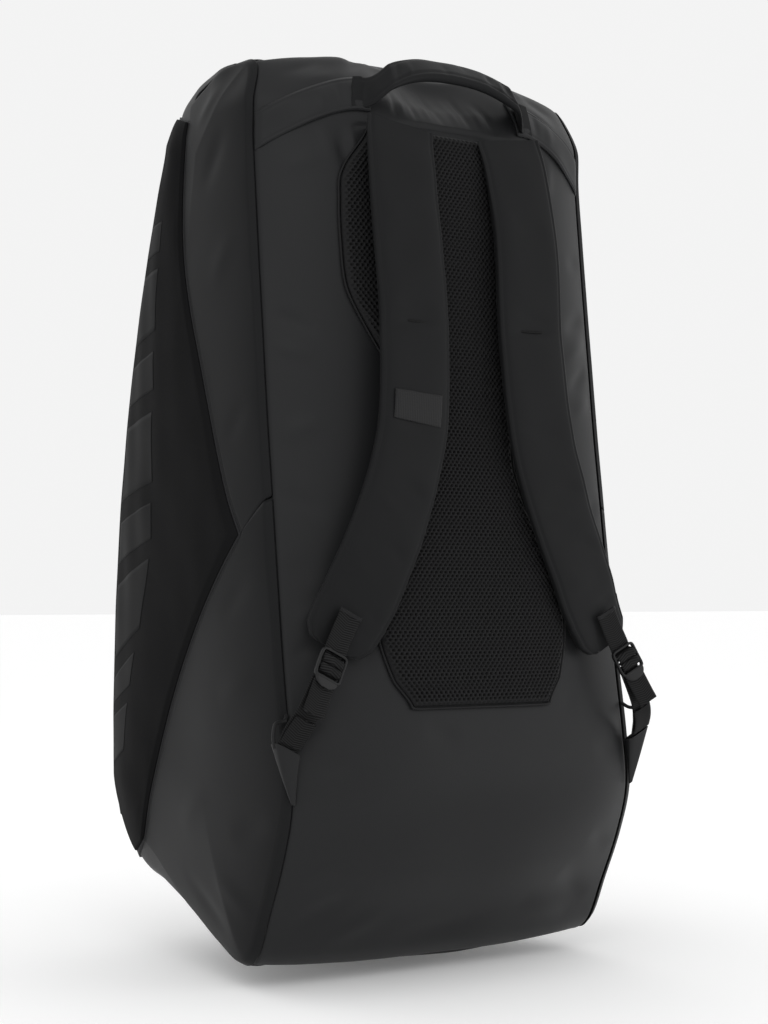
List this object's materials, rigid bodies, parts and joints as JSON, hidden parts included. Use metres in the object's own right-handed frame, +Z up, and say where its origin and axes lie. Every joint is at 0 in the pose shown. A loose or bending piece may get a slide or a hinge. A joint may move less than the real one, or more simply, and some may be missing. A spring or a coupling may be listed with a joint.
{
  "type": "racket backpack",
  "caption": "Tall soft racket bag with padded shoulder straps, air mesh back, grab handle, stretch side pockets and side walls that open on long curved zips.",
  "frame": {"origin": "on the floor under the middle of the whole bag", "axes": "+Z up, -Y towards the wearer, +X to the right seen from behind the wearer"},
  "size_m": [0.3888, 0.3594, 0.7688],
  "materials": {
    "coated_fabric": "matte coated woven fabric",
    "neoprene": "knit-faced stretch fabric with a grey print",
    "ripstop": "textured ripstop",
    "air_mesh": "spacer mesh with open cells",
    "binding": "fabric-covered piping",
    "lining": "plain woven lining",
    "foam_board": "moulded closed-cell foam",
    "zip_tape": "woven tape with nylon coil",
    "slider_metal": "black painted die casting",
    "webbing": "ribbed woven webbing",
    "buckle_plastic": "fine-textured moulded plastic",
    "label": "plain woven label"
  },
  "bodies": {
    "bag": {"back_panel": "coated_fabric", "back_board": "foam_board", "back_mesh_pad": "air_mesh", "mesh_piping": "binding", "top_panel": "coated_fabric", "front_panel": "ripstop", "base_panel": "coated_fabric", "divider": "lining", "zip_inner_tape_left": "zip_tape", "zip_inner_tape_right": "zip_tape", "yoke_band_left": "coated_fabric", "yoke_band_right": "coated_fabric", "strap_root_left": "coated_fabric", "strap_root_right": "coated_fabric", "anchor_tab_left": "coated_fabric", "anchor_tab_right": "coated_fabric"},
    "handle": {"grab_handle": "coated_fabric"},
    "left_wall": {"side_upper_left": "coated_fabric", "side_lower_left": "coated_fabric", "pocket_backing_left": "lining", "side_pocket_left": "neoprene", "pocket_zip_tape_left": "zip_tape", "zip_outer_tape_left": "zip_tape", "zip_strip_left": "ripstop"},
    "left_main_slider": {"main_slider_left": "slider_metal"},
    "left_main_pull": {"main_pull_left": "buckle_plastic"},
    "left_pocket_slider": {"pocket_slider_left": "slider_metal"},
    "left_pocket_pull": {"pocket_pull_left": "buckle_plastic"},
    "left_strap": {"strap_pad_left": "coated_fabric", "webbing_stub_left": "webbing", "ladder_lock_left": "buckle_plastic", "lower_webbing_left": "webbing", "strap_label": "label"},
    "left_tail": {"webbing_tail_left": "webbing"},
    "right_wall": {"side_upper_right": "coated_fabric", "side_lower_right": "coated_fabric", "pocket_backing_right": "lining", "side_pocket_right": "neoprene", "pocket_zip_tape_right": "zip_tape", "zip_outer_tape_right": "zip_tape", "zip_strip_right": "ripstop"},
    "right_main_slider": {"main_slider_right": "slider_metal"},
    "right_main_pull": {"main_pull_right": "buckle_plastic"},
    "right_pocket_slider": {"pocket_slider_right": "slider_metal"},
    "right_pocket_pull": {"pocket_pull_right": "buckle_plastic"},
    "right_strap": {"strap_pad_right": "coated_fabric", "webbing_stub_right": "webbing", "ladder_lock_right": "buckle_plastic", "lower_webbing_right": "webbing"},
    "right_tail": {"webbing_tail_right": "webbing"}
  },
  "joints": [
    {"name": "handle_flex", "type": "hinge", "parent": "bag", "child": "handle", "pos_m": [0, -0.1247, 0.709], "axis": [1, 0, 0], "range_deg": [0, 45], "stiffness_Nm_per_rad": 0.15},
    {"name": "left_wall_open", "type": "hinge", "parent": "bag", "child": "left_wall", "pos_m": [-0.172, -0.0817, 0.714], "axis": [0, 0.1286, 0.9917], "range_deg": [0, 50]},
    {"name": "left_main_zip", "type": "hinge", "parent": "bag", "child": "left_main_slider", "pos_m": [-0.1333, -0.9472, 0.2273], "axis": [-1, 0, 0], "range_deg": [0, 20.5]},
    {"name": "left_main_pull_lift", "type": "hinge", "parent": "left_main_slider", "child": "left_main_pull", "pos_m": [-0.1333, 0.0814, 0.64079], "axis": [1, 0, 0], "range_deg": [0, 130]},
    {"name": "left_pocket_zip", "type": "hinge", "parent": "left_wall", "child": "left_pocket_slider", "pos_m": [-0.1756, -0.9472, 0.2273], "axis": [-1, 0, 0], "range_deg": [0, 20.5]},
    {"name": "left_pocket_pull_lift", "type": "hinge", "parent": "left_pocket_slider", "child": "left_pocket_pull", "pos_m": [-0.1756, 0.063, 0.66864], "axis": [1, 0, 0], "range_deg": [0, 130]},
    {"name": "left_strap_swing", "type": "hinge", "parent": "bag", "child": "left_strap", "pos_m": [-0.09, -0.1367, 0.69], "axis": [-0.1709, -0.0517, -0.9839], "range_deg": [0, 60]},
    {"name": "left_tail_flap", "type": "hinge", "parent": "left_strap", "child": "left_tail", "pos_m": [-0.15233, -0.1761, 0.24288], "axis": [-0.891, 0, 0.4539], "range_deg": [0, 80]},
    {"name": "right_wall_open", "type": "hinge", "parent": "bag", "child": "right_wall", "pos_m": [0.172, -0.0817, 0.714], "axis": [0, -0.1286, -0.9917], "range_deg": [0, 50]},
    {"name": "right_main_zip", "type": "hinge", "parent": "bag", "child": "right_main_slider", "pos_m": [0.1333, -0.9472, 0.2273], "axis": [-1, 0, 0], "range_deg": [0, 20.5]},
    {"name": "right_main_pull_lift", "type": "hinge", "parent": "right_main_slider", "child": "right_main_pull", "pos_m": [0.1333, 0.0814, 0.64079], "axis": [1, 0, 0], "range_deg": [0, 130]},
    {"name": "right_pocket_zip", "type": "hinge", "parent": "right_wall", "child": "right_pocket_slider", "pos_m": [0.1756, -0.9472, 0.2273], "axis": [-1, 0, 0], "range_deg": [0, 20.5]},
    {"name": "right_pocket_pull_lift", "type": "hinge", "parent": "right_pocket_slider", "child": "right_pocket_pull", "pos_m": [0.1756, 0.063, 0.66864], "axis": [1, 0, 0], "range_deg": [0, 130]},
    {"name": "right_strap_swing", "type": "hinge", "parent": "bag", "child": "right_strap", "pos_m": [0.09, -0.1367, 0.69], "axis": [-0.1709, 0.0517, 0.9839], "range_deg": [0, 60]},
    {"name": "right_tail_flap", "type": "hinge", "parent": "right_strap", "child": "right_tail", "pos_m": [0.15233, -0.1761, 0.24288], "axis": [-0.891, 0, -0.4539], "range_deg": [0, 80]}
  ]
}
